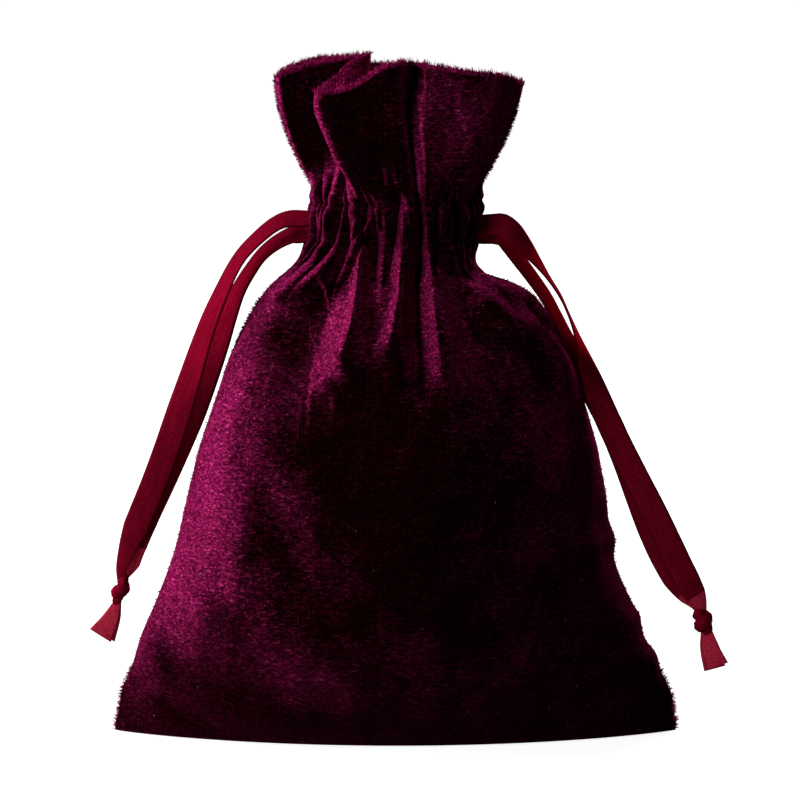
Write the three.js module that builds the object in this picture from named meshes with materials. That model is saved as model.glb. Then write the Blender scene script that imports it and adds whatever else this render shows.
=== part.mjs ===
// A velvet drawstring gift pouch, drawn closed and standing on its base, in millimetres, +Z up.
// X runs across the pouch, the front panel faces -Y, and the origin is the middle of the base.
//
// Two velvet panels are sewn together at the sides and along the bottom. Above the belly, each panel
// carries a casing between two rows of stitching, and above that a double header that flares out.
// Each of two satin ribbons runs round the whole casing and leaves it at its own side slit, where its
// two strands hang down to a knot. Pulling the knots apart draws the neck closed.

import * as THREE from "three";

// Driving dimensions.
const CLOTH = 2.0; // velvet with its pile
const HEADER_CLOTH = 3.0; // the header is turned in, so it is two layers
const CLEARANCE = 0.3;
const SIDE_EDGE = 1.4; // a panel's edge stops this far from the seam's middle plane at the sides
const BOTTOM_EDGE = 0.8; // and this far from it along the bottom
const PANEL_TOP = 114.6;
const CASING_LOW = 115.8;
const CASING_HIGH = 124.8;
const HEADER_LOW = 126.0;
const HEADER_HIGH = 159.5;
const SLIT_HALF = 4.0; // half the width of the slit that lets the ribbons out at each side
const RIBBON_WIDTH = 6.0;
const RIBBON_THICK = 0.4;
const CRUMPLED_WIDTH = 3.8; // the ribbon is crumpled lengthwise where the casing gathers on it
const CRUMPLED_THICK = 0.8;
const KNOTTED_WIDTH = 3.0; // and squeezed where it enters a knot
const THREAD_RADIUS = 0.3;
const SEAM_ALLOWANCE = 6.0;
const BOTTOM_ALLOWANCE_HALF = 52; // half the length of the bottom seam's allowance
const SIDE_STITCH_INSET = 3.0; // from a side seam's edge to its stitching, inside the cloth
const BOTTOM_STITCH_HALF = 48; // half the length of the bottom seam's stitching

// The neck's half-width across X and half-depth along Y.
const NECK = { a: 19.4, b: 12.0 };
const HEADER_FLARE = { a: 9.2, b: 4.6 }; // how much larger the mouth is than the neck
const CASING_INSIDE = { a: 17.3, b: 8.8 };
const FACING_OUTSIDE = { a: 13.0, b: 6.7 };
const FACING_CLOTH = 1.7;
const FACING_LOW = 111.0; // the turned-in hem ends a little below the casing
const THREAD_INSET = 1.2;

// The belly's outline: height, half-width across X, half-depth along Y.
const BELLY = [
  [0, 64.5, 15],
  [6, 65.5, 20],
  [20, 61.5, 26],
  [42, 53, 29],
  [62, 48, 28.5],
  [82, 42, 25],
  [96, 36, 20.5],
  [106, 28.5, 16],
  [PANEL_TOP, 20.5, 12.6],
];
const PILLOW_POWER = 0.85; // the section is sharp at the seams near the base
const ROUND_POWER = 0.5; // and an ellipse at the neck

// Materials.
const material = (color, roughness) =>
  new THREE.MeshStandardMaterial({ color, roughness, metalness: 0 });
const velvet = material(0x4a0a26, 0.95);
const facingVelvet = material(0x3c0820, 0.95);
const satin = material(0x7d0c22, 0.4);
const thread = material(0x35081c, 0.7);

// ---------------------------------------------------------------------------------------------
// Geometry helpers.

// A closed solid between two grids of points, outer and inner, with the same rows and columns.
function sheetSolid(outer, inner) {
  const rows = outer.length;
  const columns = outer[0].length;
  const points = [...outer.flat(), ...inner.flat()];
  const at = (side, i, j) => side * rows * columns + i * columns + j;
  const index = [];
  const quad = (p, q, r, s) => index.push(p, q, r, p, r, s);
  for (let i = 0; i < rows - 1; i++)
    for (let j = 0; j < columns - 1; j++) {
      quad(at(0, i, j), at(0, i, j + 1), at(0, i + 1, j + 1), at(0, i + 1, j));
      quad(at(1, i, j), at(1, i + 1, j), at(1, i + 1, j + 1), at(1, i, j + 1));
    }
  for (let j = 0; j < columns - 1; j++) {
    quad(at(0, 0, j), at(1, 0, j), at(1, 0, j + 1), at(0, 0, j + 1));
    quad(at(0, rows - 1, j), at(0, rows - 1, j + 1), at(1, rows - 1, j + 1), at(1, rows - 1, j));
  }
  for (let i = 0; i < rows - 1; i++) {
    quad(at(0, i, 0), at(0, i + 1, 0), at(1, i + 1, 0), at(1, i, 0));
    quad(at(0, i, columns - 1), at(1, i, columns - 1), at(1, i + 1, columns - 1), at(0, i + 1, columns - 1));
  }
  return facingOut(new THREE.BufferGeometry().setFromPoints(points), index);
}

// Sets the geometry's triangles so that they face out of the solid that they close.
function facingOut(geometry, index) {
  const position = geometry.getAttribute("position");
  const [p, q, r] = [new THREE.Vector3(), new THREE.Vector3(), new THREE.Vector3()];
  let sixVolumes = 0;
  for (let i = 0; i < index.length; i += 3) {
    p.fromBufferAttribute(position, index[i]);
    q.fromBufferAttribute(position, index[i + 1]);
    r.fromBufferAttribute(position, index[i + 2]);
    sixVolumes += p.dot(q.cross(r));
  }
  geometry.setIndex(sixVolumes < 0 ? index.reverse() : index);
  geometry.computeVertexNormals();
  return geometry;
}

// Half of a closed section at one height, from its left edge to its right. side is -1 for the front
// half and 1 for the back. Its edges stop where the section is edge away from the plane y = 0.
function halfSection({ a, b, power = ROUND_POWER, edge, z, side, count }) {
  const limit = Math.acos(Math.pow(edge / b, 1 / (2 * power)));
  return Array.from({ length: count }, (_, j) => {
    const angle = limit * ((2 * j) / (count - 1) - 1);
    return new THREE.Vector3(a * Math.sin(angle), side * b * Math.pow(Math.cos(angle), 2 * power), z);
  });
}

// A half ring of cloth between the heights low and high. outside(z) gives its half-width and
// half-depth, and inside(z) those of its inner face.
function halfRing({ low, high, outside, inside, edge, side, rows, count }) {
  const heights = Array.from({ length: rows }, (_, i) => low + ((high - low) * i) / (rows - 1));
  const sections = (size) => heights.map((z) => halfSection({ ...size(z), edge, z, side, count }));
  return sheetSolid(sections(outside), sections(inside));
}

// The value of a list of numbers at a share, 0 to 1, of the way along it.
function valueAt(list, share) {
  const place = share * (list.length - 1);
  const i = Math.min(Math.floor(place), list.length - 2);
  return THREE.MathUtils.lerp(list[i], list[i + 1], place - i);
}

// A ribbon along a list of points. widthAt(share, tangent) gives its width as a vector.
function ribbonSolid(points, widthAt, thick, steps) {
  const curve = new THREE.CatmullRomCurve3(points, false, "centripetal");
  const [top, bottom] = [[], []];
  for (let i = 0; i <= steps; i++) {
    const tangent = curve.getTangent(i / steps);
    const half = widthAt(i / steps, tangent).multiplyScalar(0.5);
    const normal = tangent.clone().cross(half).setLength(thick / 2);
    const centre = curve.getPoint(i / steps);
    const corner = (w, n) => centre.clone().addScaledVector(half, w).addScaledVector(normal, n);
    top.push([corner(-1, 1), corner(0, 1), corner(1, 1)]);
    bottom.push([corner(-1, -1), corner(0, -1), corner(1, -1)]);
  }
  return sheetSolid(top, bottom);
}

// The width of a hanging ribbon. A turn of 0 faces the ribbon to the front, and one of 90 degrees
// turns it edge on.
const turnedWidth = (turns, widths) => (share, tangent) => {
  const depth = new THREE.Vector3(0, 1, 0);
  const across = depth.clone().cross(tangent).normalize();
  const turn = THREE.MathUtils.degToRad(valueAt(turns, share));
  const width = across.multiplyScalar(Math.cos(turn)).addScaledVector(depth, Math.sin(turn));
  return width.addScaledVector(tangent, -width.dot(tangent)).setLength(valueAt(widths, share));
};

// A straight-sided thread with round section along a list of points.
function threadSolid(points, steps) {
  const section = new THREE.Shape().absarc(0, 0, THREAD_RADIUS, 0, 2 * Math.PI);
  const extrudePath = new THREE.CatmullRomCurve3(points, false, "centripetal");
  return new THREE.ExtrudeGeometry(section, { steps, curveSegments: 4, extrudePath });
}

// ---------------------------------------------------------------------------------------------
// The belly's size at any height.

const bellyCurve = new THREE.CatmullRomCurve3(
  BELLY.map(([z, a, b]) => new THREE.Vector3(a, b, z)),
  false,
  "centripetal",
);

// Points along the outline from the base up, as {z, a, b, power}.
function bellyOutline(count) {
  return bellyCurve.getPoints(count - 1).map((p) => ({
    z: p.z,
    a: p.x,
    b: p.y,
    power: THREE.MathUtils.lerp(PILLOW_POWER, ROUND_POWER, p.z / PANEL_TOP),
  }));
}

// A panel: half of the base, and half of the belly up to the casing.
function panelSolid(side) {
  const count = 23;
  const outline = bellyOutline(15);
  const lift = (z) => CLOTH + (z * (PANEL_TOP - CLOTH)) / PANEL_TOP;
  const rowsOf = (shrink, height) => {
    const belly = outline.map(({ z, a, b, power }) =>
      halfSection({ a: a - shrink, b: b - shrink, power, edge: SIDE_EDGE, z: height(z), side, count }),
    );
    const seam = belly[0].map((p) => new THREE.Vector3(p.x, side * BOTTOM_EDGE, p.z));
    return [seam, ...belly];
  };
  return sheetSolid(rowsOf(0, (z) => z), rowsOf(CLOTH, lift));
}

// The seam allowance at one side: both panels' edges, from the seam inwards.
function sideAllowanceSolid(side) {
  const half = SIDE_EDGE - CLEARANCE;
  const outline = bellyOutline(15).filter(({ z }) => z > 7 && z < FACING_LOW - 2);
  const face = (y) =>
    outline.map(({ z, a }) => [
      new THREE.Vector3(side * (a - CLEARANCE), y, z),
      new THREE.Vector3(side * (a - SEAM_ALLOWANCE), y, z),
    ]);
  return sheetSolid(face(-half), face(half));
}

// The seam allowance along the bottom, standing up inside the pouch.
function bottomAllowanceSolid() {
  const half = BOTTOM_EDGE - CLEARANCE;
  const columns = Array.from({ length: 9 }, (_, j) => BOTTOM_ALLOWANCE_HALF * (j / 4 - 1));
  const row = (y, z) => columns.map((x) => new THREE.Vector3(x, y, z));
  const face = (y) => [row(y, CLEARANCE), row(y, SEAM_ALLOWANCE)];
  return sheetSolid(face(-half), face(half));
}

// ---------------------------------------------------------------------------------------------
// Neck and header.

const neckSize = () => NECK;

function casingSolid(side) {
  return halfRing({
    low: CASING_LOW,
    high: CASING_HIGH,
    outside: neckSize,
    inside: () => CASING_INSIDE,
    edge: SLIT_HALF,
    side,
    rows: 2,
    count: 21,
  });
}

function facingSolid(side) {
  const inside = { a: FACING_OUTSIDE.a - FACING_CLOTH, b: FACING_OUTSIDE.b - FACING_CLOTH };
  return halfRing({
    low: FACING_LOW,
    high: CASING_HIGH,
    outside: () => FACING_OUTSIDE,
    inside: () => inside,
    edge: CLEARANCE / 2,
    side,
    rows: 2,
    count: 17,
  });
}

// The header flares from the neck to the mouth, quickly at first and then less.
function headerSize(z, shrink) {
  const share = (z - HEADER_LOW) / (HEADER_HIGH - HEADER_LOW);
  const flare = Math.sin((Math.PI / 2) * share);
  return {
    a: NECK.a + HEADER_FLARE.a * flare - shrink,
    b: NECK.b + HEADER_FLARE.b * flare - shrink,
  };
}

function headerSolid(side) {
  return halfRing({
    low: HEADER_LOW,
    high: HEADER_HIGH,
    outside: (z) => headerSize(z, 0),
    inside: (z) => headerSize(z, HEADER_CLOTH),
    edge: CLEARANCE / 2,
    side,
    rows: 7,
    count: 21,
  });
}

// ---------------------------------------------------------------------------------------------
// Stitching.

function rowOfStitching(side, z) {
  const size = { a: NECK.a - THREAD_INSET, b: NECK.b - THREAD_INSET };
  return threadSolid(halfSection({ ...size, edge: THREAD_INSET, z, side, count: 13 }), 20);
}

function sideStitching(side) {
  const y = SIDE_EDGE + THREAD_RADIUS;
  const path = bellyOutline(15)
    .filter(({ z }) => z > 12 && z < FACING_LOW - 6)
    .map(({ z, a }) => new THREE.Vector3(side * (a - SIDE_STITCH_INSET - CLOTH), y, z));
  return threadSolid(path, 16);
}

function bottomStitching() {
  const y = BOTTOM_EDGE + THREAD_RADIUS;
  const z = CLOTH + THREAD_INSET;
  const places = [-1, -1 / 3, 1 / 3, 1].map((share) => share * BOTTOM_STITCH_HALF);
  return threadSolid(places.map((x) => new THREE.Vector3(x, y, z)), 12);
}

// ---------------------------------------------------------------------------------------------
// Ribbons. A station is [x, y, z, turn in degrees].

// The straight stretch of each strand in its slit: y, z, turn.
const RUNS = {
  left_front: [-1.0, 121.6, 55],
  left_back: [1.0, 117.6, 55],
  right_front: [-1.0, 120.2, -35],
  right_back: [1.0, 116.9, -65],
};
const RUN_INNER = 16.4;
const RUN_OUTER = 22.5;

// The hanging strands, from the slit to the knot.
const STRANDS = {
  left_front: [
    [-23.1, -1.0, 121.6, 55],
    [-24.2, -1.0, 121.6, 56],
    [-26.4, -1.3, 121.2, 60],
    [-28.9, -1.6, 119.9, 62],
    [-31.2, -2.0, 118.1, 63],
    [-33.7, -2.3, 115.8, 64],
    [-35.9, -2.7, 113.4, 64],
    [-38.2, -3.1, 109.8, 62],
    [-40.4, -3.5, 105.3, 58],
    [-43.1, -4.0, 99.1, 50],
    [-45.4, -4.3, 92.8, 43],
    [-48.1, -4.4, 84.4, 29],
    [-50.9, -4.3, 76.0, 13],
    [-53.8, -4.0, 67.5, 6],
    [-56.6, -3.5, 60.0, 5],
    [-60.3, -2.7, 51.0, 6],
    [-62.6, -2.0, 44.2, 10],
    [-64.1, -1.6, 38.5, 20],
  ],
  left_back: [
    [-23.1, 1.0, 117.6, 55],
    [-24.2, 1.0, 117.6, 56],
    [-25.5, 0.9, 117.1, 59],
    [-28.4, 0.7, 115.5, 63],
    [-31.2, 0.5, 113.2, 65],
    [-34.0, 0.4, 109.5, 63],
    [-36.7, 0.3, 105.0, 58],
    [-39.1, 0.5, 99.1, 48],
    [-41.2, 0.4, 92.8, 40],
    [-44.3, -0.3, 84.4, 26],
    [-47.5, -1.1, 76.0, 14],
    [-51.2, -1.8, 67.5, 7],
    [-54.6, -2.0, 60.0, 5],
    [-58.8, -1.7, 51.0, 6],
    [-61.7, -1.1, 44.2, 10],
    [-63.4, -0.2, 38.7, 20],
  ],
  right_front: [
    [23.1, -1.0, 120.2, -35],
    [24.2, -1.0, 120.2, -35],
    [26.0, -1.4, 119.1, -36],
    [29.0, -1.8, 116.0, -52],
    [32.3, -2.2, 111.9, -72],
    [35.3, -2.6, 107.7, -84],
    [37.9, -3.0, 103.7, -86],
    [40.0, -3.4, 99.1, -86],
    [41.9, -3.8, 94.2, -78],
    [44.0, -4.2, 88.0, -55],
    [46.6, -4.4, 80.6, -25],
    [50.2, -4.2, 72.2, -8],
    [55.1, -3.8, 62.4, -5],
    [60.0, -3.2, 53.0, -5],
    [64.0, -2.6, 44.8, -8],
    [67.4, -2.2, 37.8, -12],
    [69.8, -1.9, 33.4, -18],
    [71.2, -1.7, 30.8, -22],
  ],
  right_back: [
    [23.1, 1.0, 116.9, -65],
    [24.2, 1.0, 116.6, -65],
    [25.6, 0.9, 115.2, -62],
    [28.4, 0.5, 111.7, -62],
    [31.6, -0.1, 107.5, -64],
    [34.7, -0.8, 103.1, -65],
    [37.2, -1.4, 98.5, -65],
    [39.4, -1.8, 93.9, -60],
    [42.0, -2.1, 88.4, -45],
    [45.4, -2.4, 81.6, -27],
    [49.5, -2.6, 73.8, -12],
    [53.2, -2.6, 65.0, -6],
    [56.4, -2.2, 56.2, -5],
    [59.6, -1.8, 47.8, -6],
    [63.1, -1.3, 40.4, -8],
    [67.0, -0.6, 34.2, -12],
    [69.8, -0.2, 31.0, -20],
  ],
};

// The cut ends below each knot.
const TAILS = {
  left_front: [
    [-65.8, -1.6, 29.4, 15],
    [-67.2, -1.9, 26.6, 10],
    [-69.2, -2.3, 23.4, 8],
  ],
  left_back: [
    [-65.4, -0.2, 29.4, 15],
    [-66.6, 0.1, 26.2, 12],
    [-68.2, 0.4, 22.4, 10],
  ],
  right_front: [
    [73.2, -1.6, 22.1, 15],
    [74.3, -1.9, 19.2, 10],
    [75.5, -2.3, 16.0, 8],
  ],
  right_back: [
    [73.0, -0.2, 22.1, 15],
    [73.9, 0.2, 18.4, 12],
    [74.7, 0.5, 14.3, 10],
  ],
};

// A knot's centre, its three radii, and how far it leans.
const KNOTS = {
  left: { centre: [-64.9, -1.0, 33.9], radii: [2.7, 2.5, 3.7], lean: 18 },
  right: { centre: [72.3, -1.0, 26.4], radii: [2.9, 2.6, 3.8], lean: -18 },
};

// The left ribbon inside the casing, from its front end to its back end. The right ribbon is its
// mirror, in the upper half of the casing. The two cross over at the slits, one above the other.
const LOWER_LANE = 117.8;
const UPPER_LANE = 122.2;
const CASING_ROUTE = [
  [-15.7, -1.0],
  [-14.3, -3.7],
  [-11.6, -5.1],
  [-6, -7.1],
  [0, -7.75],
  [6, -7.1],
  [11, -5.3],
  [13.0, -3.0],
  [13.75, 0],
  [13.0, 3.0],
  [11, 5.3],
  [6, 7.1],
  [0, 7.75],
  [-6, 7.1],
  [-11.6, 5.1],
  [-14.3, 3.7],
  [-15.7, 1.0],
];

const vectors = (stations) => stations.map(([x, y, z]) => new THREE.Vector3(x, y, z));
const turnsOf = (stations) => stations.map((s) => s[3]);

function runSolid(name) {
  const sign = name.startsWith("left") ? -1 : 1;
  const [y, z, turn] = RUNS[name];
  const ends = [RUN_INNER, RUN_OUTER].map((x) => new THREE.Vector3(sign * x, y, z));
  const widthAt = turnedWidth([turn, turn], [RIBBON_WIDTH, RIBBON_WIDTH]);
  return ribbonSolid(ends, widthAt, RIBBON_THICK, 1);
}

function strandSolid(name) {
  const stations = STRANDS[name];
  const widths = stations.map((_, i) => {
    const fromKnot = stations.length - 1 - i;
    return fromKnot === 0 ? KNOTTED_WIDTH : RIBBON_WIDTH;
  });
  return ribbonSolid(vectors(stations), turnedWidth(turnsOf(stations), widths), RIBBON_THICK, 32);
}

function tailSolid(name) {
  const widths = [KNOTTED_WIDTH, (KNOTTED_WIDTH + RIBBON_WIDTH) / 2, RIBBON_WIDTH];
  const widthAt = turnedWidth(turnsOf(TAILS[name]), widths);
  return ribbonSolid(vectors(TAILS[name]), widthAt, RIBBON_THICK, 6);
}

function ribbonInCasingSolid(side) {
  const lane = side < 0 ? LOWER_LANE : UPPER_LANE;
  const name = side < 0 ? "left" : "right";
  const last = CASING_ROUTE.length - 1;
  const points = CASING_ROUTE.map(([x, y], i) => {
    const fromEnd = Math.min(i, last - i);
    const end = RUNS[name + (i < last / 2 ? "_front" : "_back")][1];
    const share = Math.max(0, 1 - fromEnd / 2);
    return new THREE.Vector3(-side * x, y, THREE.MathUtils.lerp(lane, end, share));
  });
  const upright = () => new THREE.Vector3(0, 0, CRUMPLED_WIDTH);
  return ribbonSolid(points, upright, CRUMPLED_THICK, 52);
}

// ---------------------------------------------------------------------------------------------
// The assembly.

const pouch = new THREE.Group();

function add(name, geometry, meshMaterial) {
  const mesh = new THREE.Mesh(geometry, meshMaterial);
  mesh.name = name;
  pouch.add(mesh);
  return mesh;
}

for (const [place, side] of [["front", -1], ["back", 1]]) {
  add(`${place}_panel`, panelSolid(side), velvet);
  add(`${place}_casing`, casingSolid(side), velvet);
  add(`${place}_facing`, facingSolid(side), facingVelvet);
  add(`${place}_header`, headerSolid(side), velvet);
  add(`${place}_lower_stitching`, rowOfStitching(side, (PANEL_TOP + CASING_LOW) / 2), thread);
  add(`${place}_upper_stitching`, rowOfStitching(side, (CASING_HIGH + HEADER_LOW) / 2), thread);
}
for (const [place, side] of [["left", -1], ["right", 1]]) {
  add(`${place}_seam_allowance`, sideAllowanceSolid(side), facingVelvet);
  add(`${place}_seam_stitching`, sideStitching(side), thread);
  add(`${place}_ribbon_in_casing`, ribbonInCasingSolid(side), satin);
  for (const strand of ["front", "back"]) {
    add(`${place}_ribbon_${strand}_run`, runSolid(`${place}_${strand}`), satin);
    add(`${place}_ribbon_${strand}_strand`, strandSolid(`${place}_${strand}`), satin);
    add(`${place}_ribbon_${strand}_tail`, tailSolid(`${place}_${strand}`), satin);
  }
  const { centre, radii, lean } = KNOTS[place];
  const knot = add(`${place}_ribbon_knot`, new THREE.SphereGeometry(1, 14, 10), satin);
  knot.position.set(...centre);
  knot.scale.set(...radii);
  knot.rotation.y = THREE.MathUtils.degToRad(lean);
}
add("bottom_seam_allowance", bottomAllowanceSolid(), facingVelvet);
add("bottom_seam_stitching", bottomStitching(), thread);

export default pouch;
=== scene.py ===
import math
import random

import bpy
import numpy as np
from mathutils import Euler, Matrix, Vector


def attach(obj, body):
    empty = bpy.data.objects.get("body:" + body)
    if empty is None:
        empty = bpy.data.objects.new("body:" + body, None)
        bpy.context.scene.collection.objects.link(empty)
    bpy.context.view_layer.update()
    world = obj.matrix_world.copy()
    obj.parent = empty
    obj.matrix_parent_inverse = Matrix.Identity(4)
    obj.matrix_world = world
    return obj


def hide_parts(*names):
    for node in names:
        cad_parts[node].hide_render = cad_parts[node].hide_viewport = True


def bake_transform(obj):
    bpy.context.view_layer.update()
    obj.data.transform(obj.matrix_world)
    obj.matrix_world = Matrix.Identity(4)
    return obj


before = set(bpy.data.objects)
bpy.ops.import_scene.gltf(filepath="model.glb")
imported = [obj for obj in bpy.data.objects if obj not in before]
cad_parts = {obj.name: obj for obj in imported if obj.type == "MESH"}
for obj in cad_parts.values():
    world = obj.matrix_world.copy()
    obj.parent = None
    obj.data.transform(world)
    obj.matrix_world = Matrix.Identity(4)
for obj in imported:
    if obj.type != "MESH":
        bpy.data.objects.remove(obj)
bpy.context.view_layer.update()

# A velvet drawstring pouch, drawn closed. Shapes are in millimetres, with X across, the front panel
# towards -Y and +Z up from the base. MM turns them into metres.
MM = 0.001

# ------------------------------------------------------------------------------------------------
# Sizes.

CLOTH_THICK = 0.65
STITCH_SUNK = 0.12  # the stitches lie a little below the tips of the pile
SEAM_GAP = 0.08  # a panel's edge stops this far from the seam's middle plane
ALLOWANCE = 5.0
CASING_LOW = 116.6  # the two rows of stitching around the neck
CASING_HIGH = 125.6
HEADER_GAP = 1.45  # from the header's outer face to its facing's
HEADER_RISE = 34.0  # about the header's length, from the casing to the rim
FACING_LOW = 112.0
HEM_WIDTH = 11.6  # half of the facing's end across, and half of its depth
HEM_DEPTH = 5.4

# Half-widths across X by height, at the left and at the right, and half-depths along Y.
LEFT_WIDTH = [
    (0, 66.6), (1, 66.6), (4, 66.0), (9.5, 65.0), (16, 62.4), (23, 60.2), (29, 57.6), (36, 54.8), (45, 51.8),
    (55, 49.4), (68, 46.2), (81, 41.8), (91, 38.2), (97, 35.4), (102, 32.6), (105, 30.2),
    (108, 26.8), (111, 23.0), (CASING_LOW, 18.6), (120, 17.4), (CASING_HIGH, 17.8),
]
RIGHT_WIDTH = [
    (0, 65.8), (1, 66.0), (4, 65.5), (8.2, 65.0), (11.7, 63.5), (14.5, 62.3), (18.6, 61.0), (22, 58.5),
    (24.8, 57.7), (27.7, 57.2), (30.4, 55.6), (34, 53.8), (38, 52.1), (42, 51.1), (46, 51.3), (50, 49.9),
    (56, 49.1), (68, 46.8), (81, 43.0), (91, 39.6), (97, 36.8), (102, 33.2), (105, 29.8),
    (107, 25.4), (108.2, 21.2), (110, 18.6), (CASING_LOW, 17.0), (120, 16.8), (CASING_HIGH, 17.4),
]
DEPTH = [
    (0, 15.5), (3, 18.2), (7, 20.6), (20, 26.0), (42, 28.8), (62, 28.0), (82, 24.6), (94, 20.6),
    (102, 16.6), (108, 12.6), (CASING_LOW, 10.0), (120, 9.7), (CASING_HIGH, 9.9),
]
PILLOW = [(0, 1.75), (15, 1.5), (50, 1.2), (90, 1.05), (CASING_HIGH, 1.0)]

# The header's rim as seen from above, (x, y, z), from the left side seam to the right. The front
# rim doubles back on itself near the left, and dips inwards right of the middle.
FRONT_RIM = [
    (-28.2, 0.6, 153.6), (-27.0, -1.0, 154.2), (-23.4, -0.4, 155.4), (-18.8, 1.8, 156.6),
    (-13.6, 3.8, 157.6), (-9.6, 4.2, 158.4), (-7.4, 3.0, 158.7), (-8.6, 1.0, 158.3), (-11.6, -1.2, 156.3),
    (-14.8, -3.0, 153.6), (-17.2, -5.0, 151.6), (-17.3, -7.4, 151.0), (-15.2, -9.0, 151.0),
    (-11.0, -9.8, 151.8), (-7.0, -10.2, 154.0), (-3.4, -10.4, 156.4), (-0.4, -10.2, 157.3),
    (1.9, -8.9, 157.4), (2.9, -6.6, 157.2), (4.1, -5.4, 157.0), (6.2, -6.2, 156.8),
    (9.2, -7.8, 156.4), (12.6, -9.0, 155.9), (17.0, -9.2, 155.4), (21.8, -7.4, 154.8),
    (25.8, -4.0, 153.8), (28.4, -0.4, 152.4),
]
BACK_RIM = [
    (-28.2, 0.6, 153.6), (-26.6, 5.6, 154.8), (-22.6, 9.6, 156.2), (-17.4, 11.8, 157.2),
    (-12.4, 11.6, 157.4), (-9.4, 9.0, 157.0), (-7.0, 7.8, 156.4), (-4.4, 9.4, 156.0),
    (-1.0, 12.4, 155.4), (4.0, 13.8, 154.6), (9.4, 13.2, 153.8), (12.8, 10.2, 153.4),
    (14.8, 7.0, 153.2), (17.4, 6.2, 153.0), (20.4, 8.2, 152.6), (24.4, 9.6, 152.2),
    (28.2, 6.6, 151.9), (28.4, -0.4, 152.4),
]

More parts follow.
